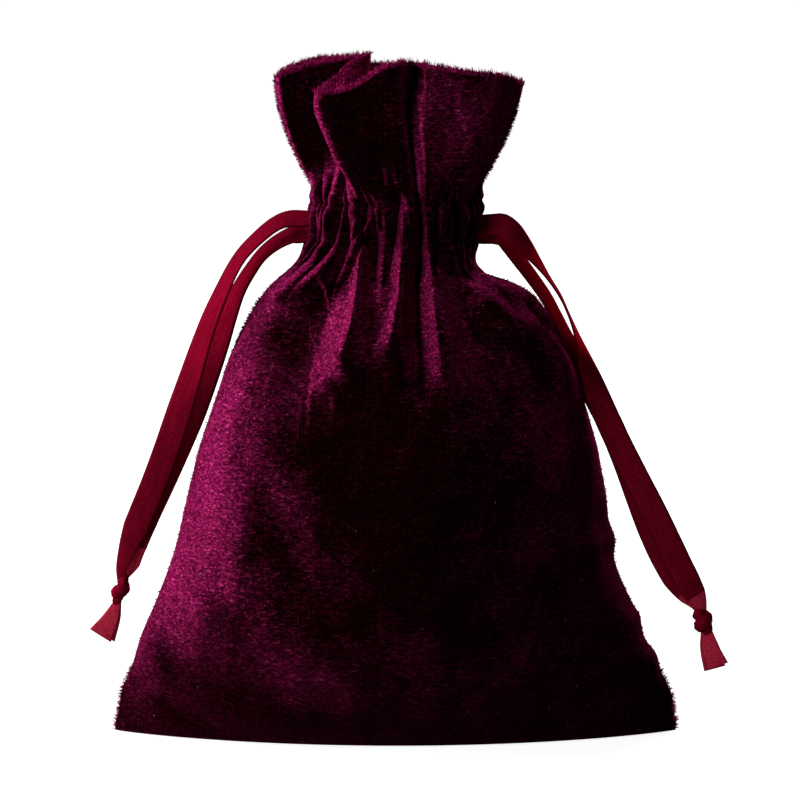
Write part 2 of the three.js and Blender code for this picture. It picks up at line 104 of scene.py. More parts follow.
# Folds, as ridges (or valleys, where the height is negative) along a line as seen from the front:
# (x, z, height, width to the left, width to the right).
FRONT_FOLDS = [
    # Left shoulder: a fold leaves the casing, turns outwards and ends on the seam.
    [(-12.4, 121, 0.0, 1.4, 1.4), (-13.2, 114, 2.2, 1.6, 1.8), (-16.6, 110.6, 3.0, 1.8, 2.6),
     (-21.0, 107.4, 3.2, 2.6, 3.4), (-26.0, 104.6, 2.6, 3.4, 3.6), (-30.0, 101.0, 0.0, 4.0, 4.0)],
    # The hollow under it.
    [(-13.6, 107, -0.6, 3.0, 2.0), (-16.6, 101, -3.4, 7.0, 2.6), (-20.6, 93, -4.8, 10.5, 3.8),
     (-22.8, 88, -2.4, 10.5, 4.4), (-24.6, 82, 0.0, 9.0, 6.0)],
    # The broad fold that runs down to the left.
    [(-7.4, 121, 0.0, 1.4, 1.4), (-7.9, 114, 2.6, 1.1, 2.0), (-8.5, 107, 3.6, 1.2, 2.8),
     (-9.7, 99, 4.2, 1.9, 3.6), (-12.4, 91, 3.0, 3.4, 5.0), (-14.8, 86.6, 1.2, 4.0, 6.0),
     (-16.6, 82, 0.0, 5.0, 6.0)],
    # The valley right of it.
    [(-5.6, 118, -0.4, 1.6, 1.6), (-6.0, 108, -2.4, 2.0, 2.0), (-6.8, 99, -2.2, 2.6, 2.6),
     (-7.6, 90, 0.0, 3.4, 3.4)],
    # The two straight folds in the middle, each with the valley at its left.
    [(0.8, 121, 0.0, 1.2, 1.4), (0.8, 114, 2.6, 1.0, 2.2), (0.5, 106, 3.2, 1.1, 3.0),
     (-0.9, 98, 2.6, 1.6, 3.6), (-2.4, 91, 0.6, 2.4, 4.4), (-3.2, 87, 0.0, 3.0, 4.4)],
    [(3.8, 118, -0.6, 1.6, 1.6), (4.4, 107, -3.0, 2.0, 2.0), (5.0, 97, -3.2, 2.6, 2.2),
     (5.6, 87, -1.6, 3.2, 2.6), (6.0, 79, 0.0, 4.0, 4.0)],
    [(6.4, 121, 0.0, 1.2, 1.6), (6.9, 114, 2.6, 1.0, 2.4), (8.0, 106, 3.6, 1.2, 3.4),
     (9.3, 97, 3.2, 1.6, 4.8), (10.4, 89, 1.8, 2.0, 5.8), (11.0, 82, 0.0, 3.0, 6.0)],
    # Short folds right of the middle.
    [(12.2, 120, 0.0, 1.4, 1.4), (12.9, 113, 1.8, 1.4, 1.6), (14.4, 106, 1.4, 1.8, 1.8),
     (15.6, 101, 0.0, 2.2, 2.2)],
    [(13.0, 110, 0.0, 2.0, 2.0), (15.6, 104, -1.8, 2.4, 2.2), (17.4, 98, -1.4, 3.0, 2.6),
     (18.6, 91, 0.0, 3.6, 3.6)],
    [(15.8, 106, 0.0, 1.6, 1.6), (18.0, 100, 1.4, 1.6, 2.0), (19.2, 95, 0.0, 2.0, 2.0)],
    # Right shoulder: a fold leaves the neck and runs out along the shoulder.
    [(16.4, 114, 0.0, 1.8, 1.8), (18.2, 109, 2.0, 2.0, 1.6), (21.0, 104.4, 3.6, 2.8, 1.4),
     (25.4, 100.6, 4.0, 3.6, 1.4), (31.2, 97.6, 3.4, 4.4, 1.6), (36.0, 91.6, 2.4, 5.0, 2.0),
     (39.4, 84, 1.2, 6.0, 3.0), (41.6, 76, 0.0, 6.0, 4.0)],
    [(21.6, 108.0, -0.8, 1.6, 1.6), (25.8, 104.2, -3.0, 1.8, 1.8), (31.6, 101.0, -2.6, 2.0, 2.0),
     (36.4, 95.4, -1.4, 2.0, 2.0), (39.6, 89, 0.0, 2.4, 2.4)],
    # The belly's own slack.
    [(-40, 72, 0.0, 7, 7), (-35, 60, 1.0, 8, 8), (-33, 46, 0.9, 9, 9), (-38, 32, 0.0, 10, 10)],
    [(-26, 70, 0.0, 6, 6), (-25, 57, -0.9, 7, 7), (-22, 44, -0.7, 8, 8), (-24, 30, 0.0, 9, 9)],
    [(26, 66, 0.0, 9, 9), (31, 52, -0.9, 10, 10), (33, 38, 0.0, 10, 10)],
    # Creases at the bottom corners.
    [(-61, 12, 0.0, 2.4, 2.4), (-54, 8.4, -1.1, 2.6, 2.6), (-46, 5.4, -0.9, 2.8, 2.8),
     (-38, 3.4, 0.0, 3.0, 3.0)],
    [(-59, 19, 0.0, 3.0, 3.0), (-50, 14, 0.8, 3.4, 3.4), (-41, 11, 0.0, 4.0, 4.0)],
    [(57, 24, 0.0, 2.6, 2.6), (50, 18.5, 1.0, 2.8, 2.8), (43, 14.5, 0.0, 3.0, 3.0)],
    [(60, 17, 0.0, 2.4, 2.4), (53, 12.4, -1.0, 2.6, 2.6), (45, 9.4, 0.0, 3.0, 3.0)],
    [(61, 9, 0.0, 2.2, 2.2), (54, 6.2, 0.7, 2.4, 2.4), (46, 4.2, 0.0, 2.6, 2.6)],
]
BACK_FOLDS = [
    [(-14.6, 120, 0.0, 1.5, 1.5), (-16.8, 112, 2.2, 1.8, 1.8), (-21.5, 105, 2.8, 2.8, 2.8),
     (-26.5, 98, 1.6, 4.0, 4.0), (-30.0, 90, 0.0, 5.0, 5.0)],
    [(-11.0, 110, 0.0, 2.0, 2.0), (-14.2, 102, -2.6, 3.0, 3.0), (-17.5, 92, -1.8, 4.5, 4.5),
     (-19.5, 80, 0.0, 6.0, 6.0)],
    [(-7.4, 120, 0.0, 1.4, 1.4), (-7.9, 112, 2.6, 1.7, 1.7), (-9.0, 102, 3.8, 2.8, 2.8),
     (-10.4, 90, 2.4, 4.0, 4.0), (-11.6, 78, 0.0, 5.0, 5.0)],
    [(-3.6, 116, -0.6, 1.6, 1.6), (-4.2, 105, -2.8, 2.2, 2.2), (-4.6, 92, -1.8, 3.0, 3.0),
     (-5.0, 80, 0.0, 4.0, 4.0)],
    [(0.4, 120, 0.0, 1.4, 1.4), (0.6, 112, 2.4, 1.6, 1.8), (1.2, 101, 3.2, 2.2, 2.8),
     (1.6, 90, 1.6, 3.0, 4.0), (1.8, 80, 0.0, 4.0, 5.0)],
    [(4.8, 117, -0.4, 1.6, 1.6), (5.8, 107, -2.6, 2.0, 2.2), (7.4, 95, -2.2, 3.0, 3.0),
     (8.8, 83, 0.0, 4.0, 4.0)],
    [(8.4, 120, 0.0, 1.4, 1.4), (9.4, 112, 2.4, 1.7, 1.7), (12.4, 102, 3.4, 2.6, 3.0),
     (16.6, 91, 2.2, 4.4, 4.4), (20.4, 80, 0.0, 6.0, 6.0)],
    [(14.0, 112, 0.0, 1.8, 1.8), (18.4, 104, -2.4, 2.6, 2.6), (23.0, 96, -1.8, 3.6, 3.6),
     (26.0, 88, 0.0, 5.0, 5.0)],
    [(-32, 62, 0.0, 8, 8), (-26, 48, 1.0, 9, 9), (-24, 34, 0.0, 10, 10)],
    [(30, 66, 0.0, 8, 8), (25, 50, 1.0, 9, 9), (27, 34, 0.0, 10, 10)],
    [(59, 15, 0.0, 2.4, 2.4), (51, 9.6, -1.0, 2.8, 2.8), (42, 6.0, 0.0, 3.0, 3.0)],
    [(-59, 20, 0.0, 2.6, 2.6), (-50, 14.5, 0.9, 3.0, 3.0), (-41, 10.5, 0.0, 3.4, 3.4)],
]

# The header's own folds, as lines of (share of the way across in hundredths, z, height, widths to the
# left and right in the same hundredths).
HEADER_FOLDS = {
    "front": [
        [(19, 158, -0.3, 4, 3), (18, 148, -1.7, 4, 3), (17, 138, -2.0, 3.6, 2.6), (17, 128, -1.0, 3, 2.4)],
        [(31, 154, 0, 7, 12), (28, 146, 1.0, 5, 12), (26, 138, 1.5, 4, 10), (25, 130, 1.1, 3.4, 7),
         (24, 125, 0, 3, 4)],
        [(52, 152, 0, 8, 8), (47, 144, -0.8, 6, 7), (43, 135, 0, 5, 6)],
        [(-30, 153, 0, 4, 8), (-29, 145, 1.5, 4, 8), (-28, 136, 2.0, 3.6, 8), (-27, 129, 1.4, 3, 6),
         (-26, 125, 0, 3, 4)],
        [(-52, 150, 0, 8, 8), (-48, 142, -1.2, 8, 8), (-44, 134, -1.5, 7, 7), (-42, 127, 0, 5, 5)],
        [(64, 148, 0, 8, 8), (60, 138, 0.9, 5, 7), (56, 130, 0.8, 4, 5), (52, 126, 0, 3, 4)],
        [(-20, 138, 0, 4, 4), (-21, 131, 0.7, 3, 4), (-22, 126, 0, 2.4, 3)],
        [(-6, 140, 0, 4, 4), (-7, 132, -0.9, 3, 3), (-8, 127, 0, 2, 2)],
        [(5, 139, 0, 3, 3), (4, 132, 0.8, 2.6, 3), (3, 126, 0, 2, 3)],
    ],
    "back": [
        [(-20, 152, 0, 8, 8), (-18, 142, 1.2, 5, 6), (-16, 132, 1.0, 4, 5), (-15, 126, 0, 3, 4)],
        [(4, 150, 0, 7, 7), (3, 140, -1.2, 5, 5), (2, 131, 0, 4, 4)],
        [(20, 152, 0, 7, 7), (18, 142, 1.3, 5, 6), (15, 132, 1.0, 4, 5), (13, 126, 0, 3, 4)],
        [(-44, 148, 0, 6, 6), (-40, 138, -1.0, 5, 5), (-36, 130, 0, 4, 4)],
    ],
}

# The gathers of each panel at the casing: how many, how high, and how far they last below the lower
# stitching and above the upper one.
GATHERS_PER_PANEL = 13
GATHER_HEIGHT = 3.0
GATHER_REACH_DOWN = (4.0, 9.0)
GATHER_REACH_UP = (1.4, 4.2)
GATHER_SEED = 11
# The small puckers between the two rows of stitching, over the ribbon.
PUCKERS_PER_PANEL = 19
PUCKER_HEIGHT = 1.3
PUCKER_REACH = 3.0
# The slack of the cloth: how many waves cross, and how high each is for its length.
SLACK_WAVES = 14
SLACK_HEIGHT = 0.0032

# The free ribbon: width, thickness, and the strands' routes, from the slit to the knot. A station
# is (x, y, z, turn in degrees), and a turn of 90 is edge on to the front.
RIBBON_THICK = 0.22
RIBBON_SELVEDGE = 1.35  # how much thicker a selvedge is
RIBBON_GRAIN = 1.6  # how fast the ribs' pattern runs along the ribbon, per millimetre
SLIT_X = 18.3
# Where a strand passes in the casing, and the share of its distance from the middle plane there.
CASING_STATIONS = ((13.6, 0.7), (16.4, 0.9), (19.8, 1.0))
CASING_WIDTHS = [(0, 4.4), (0.05, 5.0), (0.09, 5.8), (0.14, 6.0)]
# Each strand's run in the casing: its distance from the middle plane, its height and its turn.
RUNS = {
    "left_front": (-1.0, 121.6, 55),
    "left_back": (1.0, 117.6, 55),
    "right_front": (-1.0, 120.2, -35),
    "right_back": (1.0, 116.9, -65),
}
STRANDS = {
    "left_front": [
        (-23.1, -1.0, 121.6, 55), (-24.2, -1.0, 121.6, 56), (-26.4, -1.3, 121.2, 60),
        (-28.9, -1.6, 119.9, 62), (-31.2, -2.0, 118.1, 63), (-33.7, -2.3, 115.8, 64),
        (-35.9, -2.7, 113.4, 64), (-38.2, -3.1, 109.8, 62), (-40.4, -3.5, 105.3, 58),
        (-43.1, -4.0, 99.1, 50), (-45.4, -4.3, 92.8, 43), (-48.1, -4.4, 84.4, 29),
        (-50.9, -4.3, 76.0, 13), (-53.8, -4.0, 67.5, 6), (-56.6, -3.5, 60.0, 5),
        (-60.3, -2.7, 51.0, 6), (-63.0, -2.0, 44.2, 10), (-64.7, -1.6, 38.5, 20),
    ],
    "left_back": [
        (-23.1, 1.0, 117.6, 55), (-24.2, 1.0, 117.6, 56), (-25.5, 0.9, 117.1, 59),
        (-28.4, 0.7, 115.5, 63), (-31.2, 0.5, 113.2, 65), (-34.0, 0.4, 109.5, 63),
        (-36.7, 0.3, 105.0, 58), (-39.1, 0.5, 99.1, 48), (-41.2, 0.4, 92.8, 40),
        (-44.3, -0.3, 84.4, 26), (-47.5, -1.1, 76.0, 14), (-51.2, -1.8, 67.5, 7),
        (-54.6, -2.0, 60.0, 5), (-58.8, -1.7, 51.0, 6), (-61.7, -1.1, 44.2, 10),
        (-63.4, -0.2, 38.7, 20),
    ],
    "right_front": [
        (23.1, -1.0, 120.2, -35), (24.2, -1.0, 120.2, -35), (26.0, -1.4, 119.1, -36),
        (29.0, -1.8, 116.0, -52), (32.3, -2.2, 111.9, -72), (35.3, -2.6, 107.7, -84),
        (37.9, -3.0, 103.7, -86), (40.0, -3.4, 99.1, -86), (41.9, -3.8, 94.2, -78),
        (44.0, -4.2, 88.0, -55), (46.6, -4.4, 80.6, -25), (50.2, -4.2, 72.2, -8),
        (55.1, -3.8, 62.4, -5), (60.0, -3.2, 53.0, -5), (64.0, -2.6, 44.8, -8),
        (67.4, -2.2, 37.8, -12), (69.8, -1.9, 33.4, -18), (71.2, -1.7, 30.8, -22),
    ],
    "right_back": [
        (23.1, 1.0, 116.9, -65), (24.2, 1.0, 116.6, -65), (25.6, 0.9, 115.2, -62),
        (28.4, 0.5, 111.7, -62), (31.6, -0.1, 107.5, -64), (34.7, -0.8, 103.1, -65),
        (37.2, -1.4, 98.5, -65), (39.4, -1.8, 93.9, -60), (42.0, -2.1, 88.4, -45),
        (45.4, -2.4, 81.6, -27), (49.5, -2.6, 73.8, -12), (53.2, -2.6, 65.0, -6),
        (56.4, -2.2, 56.2, -5), (59.6, -1.8, 47.8, -6), (63.1, -1.3, 40.4, -8),
        (67.0, -0.6, 34.2, -12), (69.8, -0.2, 31.0, -20),
    ],
}
# The cut ends below each knot, and the knots: centre, radii, lean in degrees.
TAILS = {
    "left_front": [(-65.6, -1.4, 31.2, 15), (-67.4, -1.9, 27.0, 10), (-69.7, -2.1, 23.2, 6)],
    "left_back": [(-65.5, -0.6, 31.2, 15), (-67.0, -0.3, 26.8, 12), (-69.0, -0.2, 22.7, 10)],
    "right_front": [(72.8, -1.4, 24.0, 15), (73.8, -1.9, 19.8, 10), (75.4, -2.1, 15.8, 6)],
    "right_back": [(72.7, -0.6, 24.0, 15), (73.6, -0.2, 18.8, 12), (74.9, 0.1, 14.8, 10)],
}
KNOTS = {
    "left": ((-64.9, -1.0, 33.9), (1.9, 1.9, 3.3), 20),
    "right": ((71.9, -1.0, 26.4), (2.5, 2.2, 3.0), -24),
}

# How each strand narrows into its knot, as (share of its length, width), and the share of its length
# from which its reverse shows.
KNOT_WIDTHS = {
    "left_front": [(0.87, 6.0), (0.92, 4.4), (0.96, 3.0), (1, 1.5)],
    "left_back": [(0.90, 6.0), (0.95, 5.2), (0.98, 2.6), (1, 1.5)],
    "right_front": [(0.92, 6.0), (0.955, 5.2), (0.98, 3.0), (1, 1.8)],
    "right_back": [(0.90, 6.0), (0.95, 4.6), (0.98, 2.6), (1, 1.5)],
}
REVERSE_FROM = {"left_front": 1.0, "left_back": 0.90, "right_front": 0.95, "right_back": 0.93}
TAIL_WIDTHS = {
    "left": [(0, 1.6), (0.35, 3.4), (1, 5.8)],
    "right": [(0, 2.6), (0.35, 3.9), (1, 5.2)],
}
# The ribbon wound round a knot: its turns, and half of its width and of its thickness.
WRAP_TURNS = 1.35
WRAP_WIDE = 1.35
WRAP_HIGH = 0.62

# ------------------------------------------------------------------------------------------------
# Helpers.


def smooth(x, xs, ys):
    """A smooth curve through the points (xs, ys), read at x."""
    x = np.clip(x, xs[0], xs[-1])
    slopes = np.gradient(ys, xs)
    i = np.clip(np.searchsorted(xs, x, side="right") - 1, 0, len(xs) - 2)
    step = xs[i + 1] - xs[i]
    t = (x - xs[i]) / step
    start = (1 + 2 * t) * (1 - t) ** 2 * ys[i] + t * (1 - t) ** 2 * step * slopes[i]
    end = t**2 * (3 - 2 * t) * ys[i + 1] + t**2 * (t - 1) * step * slopes[i + 1]
    return start + end


def table(rows, x):
    """A column of a size table, read smoothly at x."""
    xs, ys = np.array(rows, float).T
    return smooth(x, xs, ys)


def ease(t):
    t = np.clip(t, 0, 1)
    return t * t * (3 - 2 * t)


def unit(v):
    return v / np.maximum(np.linalg.norm(v, axis=-1, keepdims=True), 1e-9)


def chord_of(line):
    """How far along a line each of its points is."""
    return np.r_[0, np.cumsum(np.linalg.norm(np.diff(line, axis=0), axis=1))]


def on_line(line, chord, at):
    """The points at these places along a line, read smoothly."""
    return np.stack([smooth(at, chord, line[:, k]) for k in range(3)], axis=1)


def sign_of(place):
    return -1 if place == "left" else 1


def mesh_object(name, vertices, faces, material):
    """A new object from vertices in millimetres."""
    mesh = bpy.data.meshes.new(name)
    mesh.from_pydata((np.asarray(vertices, float) * MM).tolist(), [], faces)
    mesh.validate()
    mesh.update()
    mesh.materials.append(material)
    mesh.shade_smooth()
    obj = bpy.data.objects.new(name, mesh)
    bpy.context.scene.collection.objects.link(obj)
    return obj


def grid_faces(rows, columns, wrap=False):
    faces = []
    for i in range(rows - 1):
        for j in range(columns - 1 + wrap):
            k = (j + 1) % columns
            faces.append((i * columns + j, i * columns + k, (i + 1) * columns + k, (i + 1) * columns + j))
    return faces


def tube_faces(rings, section, first=0):
    """A closed tube: its wall, and both ends. first is the number of its first vertex."""
    faces = grid_faces(rings, section, wrap=True)
    faces.append(tuple(range(section))[::-1])
    faces.append(tuple((rings - 1) * section + k for k in range(section)))
    return [tuple(first + v for v in face) for face in faces]


def sheet_faces(rows, columns, first=0):
    """A closed sheet: a grid, the same grid behind it, and the edge between them."""
    count = rows * columns
    faces = grid_faces(rows, columns)
    faces += [tuple(count + v for v in face[::-1]) for face in faces]
    edge = list(range(columns))
    edge += [i * columns + columns - 1 for i in range(1, rows)]
    edge += [(rows - 1) * columns + k for k in range(columns - 2, -1, -1)]
    edge += [i * columns for i in range(rows - 2, 0, -1)]
    faces += [(b, a, count + a, count + b) for a, b in zip(edge, edge[1:] + edge[:1])]
    return [tuple(first + v for v in face) for face in faces]


# ------------------------------------------------------------------------------------------------
# Materials.


class Nodes:
    """A material's node tree, with short calls to add and link nodes."""

    def __init__(self, name):
        self.material = bpy.data.materials.new(name)
        self.material.use_nodes = True
        self.tree = self.material.node_tree
        self.shader = self.tree.nodes["Principled BSDF"]

    def add(self, kind, inputs=None, **settings):
        node = self.tree.nodes.new("ShaderNode" + kind)
        for key, value in settings.items():
            setattr(node, key, value)
        for key, value in (inputs or {}).items():
            self.put(value, node.inputs[key])
        return node

    def put(self, value, socket):
        if isinstance(value, bpy.types.NodeSocket):
            self.tree.links.new(value, socket)
        else:
            socket.default_value = value

    def set(self, **values):
        for key, value in values.items():
            self.put(value, self.shader.inputs[key.replace("_", " ")])

    def noise(self, scale, detail=3, roughness=0.55, vector=None, distortion=0.0):
        inputs = {"Scale": scale, "Detail": detail, "Roughness": roughness, "Distortion": distortion}
        if vector is not None:
            inputs["Vector"] = vector
        return self.add("TexNoise", inputs).outputs["Fac"]

    def ramp(self, value, *stops):
        node = self.add("ValToRGB", {"Fac": value})
        elements = node.color_ramp.elements
        while len(elements) < len(stops):
            elements.new(0.5)
        for element, (position, colour) in zip(elements, stops):
            element.position = position
            element.color = (*colour, 1)
        return node.outputs["Color"]

    def mix(self, factor, a, b, blend="MIX"):
        node = self.add("Mix", data_type="RGBA", blend_type=blend)
        for socket, value in ((node.inputs[0], factor), (node.inputs[6], a), (node.inputs[7], b)):
            self.put((*value, 1) if isinstance(value, tuple) else value, socket)
        return node.outputs[2]

    def math(self, operation, a, b=0.0):
        return self.add("Math", {0: a, 1: b}, operation=operation).outputs[0]

    def coordinates(self, scale=(1, 1, 1)):
        place = self.add("TexCoord").outputs["Object"]
        return self.add("Mapping", {"Vector": place, "Scale": scale}).outputs["Vector"]

    def multiply(self, a, b):
        return self.mix(1.0, a, b, "MULTIPLY")

    def scaled(self, value, factor, extra):
        """value times factor, plus extra."""
        return self.math("ADD", self.math("MULTIPLY", value, factor), extra)

    def near(self, place, spot, extra):
        """The distance of a place from a spot (middle, rate), times its rate, plus extra."""
        middle, rate = spot
        away = self.add("VectorMath", {0: place, 1: middle}, operation="DISTANCE").outputs["Value"]
        return self.scaled(away, rate, extra)

    def bump(self, height, strength, distance):
        node = self.add("Bump", {"Height": height, "Strength": strength, "Distance": distance})
        self.set(Normal=node.outputs["Normal"])


def grey(value):
    return (value, value, value)


# Spots of painted shade, where the painted sheen is taken away: in the hollow under the left shoulder, below
# it, at the bottom middle and at the bottom left corner. Each is a place in metres, and how quickly the
# effect ends away from it.
SHADED_SPOTS = [
    ((0.024, 0.0, 0.018), 8.0),
    ((-0.0275, -0.018, 0.0945), 38.0),
    ((-0.018, -0.023, 0.0765), 58.0),
    ((-0.046, -0.014, 0.010), 22.0),
]
# A spot of painted light, where the painted sheen is made stronger, on the header right of its valley.
PAINTED_LIGHT_SPOT = ((0.0135, -0.008, 0.1455), 42.0)
# The bands that go by height read it in metres times HEIGHT_RATE, so the casing's middle, 121 mm
# up, is at CASING_LEVEL.
HEIGHT_RATE = 30.0
CASING_LEVEL = 3.63
LINT = (0.3, 0.18, 0.2)


def velvet_facing(n, place, brushed, tuft, uneven):
    """How far the pile is seen from the side, made uneven by its brushing and its tufts, and pushed up on
    one spot of the header as painted light.
    """
    facing = n.add("LayerWeight", {"Blend": 0.5}).outputs["Facing"]
    for texture, share in ((brushed, 0.32), (tuft, 0.30)):
        facing = n.math("ADD", facing, n.math("MULTIPLY", n.math("SUBTRACT", texture, 0.5), share))
    painted_light = n.ramp(n.near(place, PAINTED_LIGHT_SPOT, uneven), (0.40, grey(0.15)), (1.00, grey(0.0)))
    return n.math("ADD", facing, painted_light)


def painted_shade_share(n, place, brushed, uneven):
    """How much of the painted sheen is kept: painted shade takes it away at the base, in the casing and at
    the shaded spots.
    """
    height = n.add("SeparateXYZ", {"Vector": n.add("TexCoord").outputs["Object"]}).outputs["Z"]
    # Painted shade towards the base.
    share = n.ramp(n.scaled(height, HEIGHT_RATE, uneven), (0.50, grey(0.1)), (0.88, grey(1.0)))
    # Painted shade in the casing's gathers, around its middle.
    level = n.math("MULTIPLY", height, HEIGHT_RATE)
    gathered = n.math("ABSOLUTE", n.math("SUBTRACT", level, CASING_LEVEL))
    gathered = n.math("ADD", gathered, n.math("MULTIPLY", brushed, 0.3))
    share = n.multiply(share, n.ramp(gathered, (0.28, grey(0.45)), (0.48, grey(1.0))))
    # Painted shade at each of the shaded spots.
    for spot in SHADED_SPOTS:
        spot_shade = n.ramp(n.near(place, spot, uneven), (0.48, grey(0.22)), (0.86, grey(1.0)))
        share = n.multiply(share, spot_shade)
    return share


def velvet_material(name, dark, light, lit, sheen):
    """Velvet: a nearly black ground, and a coloured sheen painted into the base colour where the pile is
    seen from the side, on top of the shader's own sheen, with painted shade taking it away at the base, in
    the casing and at a few spots. The pile is brushed in patches, stands in fine rows, and carries a few
    specks of lint."""
    n = Nodes(name)
    place = n.coordinates()
    rows = n.add(
        "TexWave",
        {"Vector": place, "Scale": 400.0, "Distortion": 3.0, "Detail": 1.0, "Detail Scale": 3.0},
        bands_direction="X",
    ).outputs["Fac"]
    brushed = n.noise(62, 4, 0.62, place)
    uneven = n.math("MULTIPLY", brushed, 0.5)
    tuft = n.noise(1250, 3, 0.8, n.coordinates((0.55, 0.8, 1.5)), 0.8)
    ground = n.ramp(brushed, (0.38, dark), (0.66, light))
    ground = n.multiply(ground, n.ramp(rows, (0.2, grey(0.7)), (0.9, grey(1.7))))
    # The tufts' speckle, a real texture, with its brightest specks tinted pink as painted glints.
    grain_and_painted_glints = n.ramp(
        tuft, (0.37, grey(0.22)), (0.49, grey(0.72)), (0.59, (1.6, 2.0, 1.7)), (0.68, (2.9, 9.0, 4.0))
    )
    facing = velvet_facing(n, place, brushed, tuft, uneven)
    # Painted sheen: the share of the lit colour in the base colour grows as the pile is seen more from the
    # side.
    share = n.ramp(facing, (0.05, grey(0.0)), (0.14, grey(0.22)), (0.30, grey(0.8)), (0.50, grey(1.0)))
    share = n.multiply(share, painted_shade_share(n, place, brushed, uneven))
    # Painted sheen on the silhouettes, where the pile is seen nearly edge on, kept whatever the painted
    # shade.
    share = n.mix(1.0, share, n.ramp(facing, (0.62, grey(0.0)), (0.86, grey(0.9))), "LIGHTEN")
    pile = n.multiply(n.mix(share, ground, lit), grain_and_painted_glints)
    lint = n.ramp(n.noise(780, 1, 0.4, place), (0.785, grey(0.0)), (0.805, grey(1.0)))
    n.set(
        Base_Color=n.mix(n.math("MULTIPLY", lint, 0.3), pile, LINT),
        Roughness=0.9,
        IOR=1.0,
        Sheen_Weight=sheen,
        Sheen_Roughness=0.3,
        Sheen_Tint=(*SHEEN, 1),
    )
    relief = n.math("MULTIPLY", tuft, 0.0004)
    for texture, metres in ((n.noise(420, 3, 0.6, place), 0.0002), (rows, 0.00002), (brushed, 0.0012)):
        relief = n.math("ADD", relief, n.math("MULTIPLY", texture, metres))
    n.bump(relief, 1.0, 1.0)
    return n.material


def pile_material():
    """Single tufts at an edge, each its own tone, from dark wine to a magenta far lighter than the velvet's
    ground: painted sheen.
    """
    n = Nodes("velvet_pile_painted_sheen")
    shade = n.noise(1100, 2, 0.6, n.coordinates())
    n.set(
        Base_Color=n.ramp(shade, (0.35, (0.06, 0.002, 0.016)), (0.65, (0.42, 0.012, 0.13))),
        Roughness=0.8,
        IOR=1.0,
        Sheen_Weight=0.4,
        Sheen_Roughness=0.4,
        Sheen_Tint=(1.0, 0.05, 0.35, 1),
    )
    return n.material


def satin_material(name, dark, light, gloss, rib_depth):
    """Satin ribbon: fine ribs across it, faint painted sheen in stripes and a gloss along it, and darker
    selvedges.
    """
    n = Nodes(name)
    uv = n.add("UVMap").outputs["UV"]
    ribs = n.add(
        "TexWave",
        {"Vector": uv, "Scale": 1.0, "Distortion": 0.25, "Detail": 1.0},
        bands_direction="Y",
        wave_profile="SIN",
    ).outputs["Fac"]
    shade = n.noise(140, 3, 0.6, n.coordinates())
    stretched = n.add("Mapping", {"Vector": uv, "Scale": (9, 0.05, 1)}).outputs["Vector"]
    painted_sheen_streaks = n.noise(1.0, 2, 0.6, stretched)
    weave = n.noise(2400, 2, 0.7, n.coordinates())
    base = n.mix(shade, dark, light)
    # Painted sheen: soft lighter and darker stripes along the ribbon.
    base = n.multiply(base, n.ramp(painted_sheen_streaks, (0.35, grey(0.84)), (0.62, grey(1.08))))
    base = n.multiply(base, n.ramp(weave, (0.36, grey(0.7)), (0.66, grey(1.35))))
    across = n.add("SeparateXYZ", {"Vector": uv}).outputs["X"]
    edge = n.math("ABSOLUTE", n.math("SUBTRACT", across, 0.5))
    base = n.multiply(base, n.ramp(edge, (0.43, grey(1.0)), (0.49, grey(0.45))))
    n.set(
        Base_Color=n.mix(rib_depth, base, n.ramp(ribs, (0.0, grey(0.3)), (1.0, grey(1.0))), "MULTIPLY"),
        Metallic=gloss,
        Roughness=0.5,
        Anisotropic=0.5,
        Specular_IOR_Level=0.0,
        Specular_Tint=(1.0, 0.12, 0.25, 1),
    )
    n.bump(n.math("ADD", ribs, weave), 0.3, 0.00008)
    return n.material


def thread_material():
    n = Nodes("sewing_thread")
    twist = n.add("TexWave", {"Scale": 900.0, "Distortion": 1.0}, bands_direction="DIAGONAL").outputs["Fac"]
    n.set(
        Base_Color=n.mix(twist, (0.02, 0.0006, 0.005), (0.10, 0.004, 0.03)),
        Roughness=0.7,
        IOR=1.2,
    )
    n.bump(twist, 0.5, 0.0001)
    return n.material


# The colours of the painted sheen: lit pile on the velvet's face, and dimmer on the cloth's back.
PAINTED_SHEEN = (0.22, 0.0062, 0.062)
PAINTED_SHEEN_BACK = (0.05, 0.002, 0.015)  # the painted sheen on the cloth's back
SHEEN = (0.95, 0.012, 0.24)
VELVET = velvet_material("velvet", (0.006, 0.0004, 0.0009), (0.015, 0.0007, 0.0025), PAINTED_SHEEN, 0.22)
# The turned-in cloth at the rim and the facing: the same velvet with its ground painted far lighter, as
# painted light.
TURNED_PAINTED_LIGHT = velvet_material("velvet_turned_painted_light", (0.13, 0.003, 0.035), (0.34, 0.008, 0.095), PAINTED_SHEEN, 0.5)
PILE_PAINTED_SHEEN = pile_material()
INSIDE = velvet_material("velvet_back", (0.012, 0.001, 0.003), (0.03, 0.002, 0.008), PAINTED_SHEEN_BACK, 0.1)
SATIN = satin_material("satin_ribbon", (0.13, 0.0011, 0.009), (0.24, 0.003, 0.022), 0.1, 0.3)
SATIN_REVERSE = satin_material("satin_ribbon_reverse", (0.36, 0.012, 0.035), (0.66, 0.035, 0.085), 0.2, 0.6)
THREAD = thread_material()

# ------------------------------------------------------------------------------------------------
# Camera.

CAMERA_TARGET = Vector((0.7, 0, 78.9)) * MM
CAMERA_ELEVATION = math.radians(9)
CAMERA_DISTANCE = 0.9
VIEW_WIDTH = 0.1865  # what the frame shows across, at the target


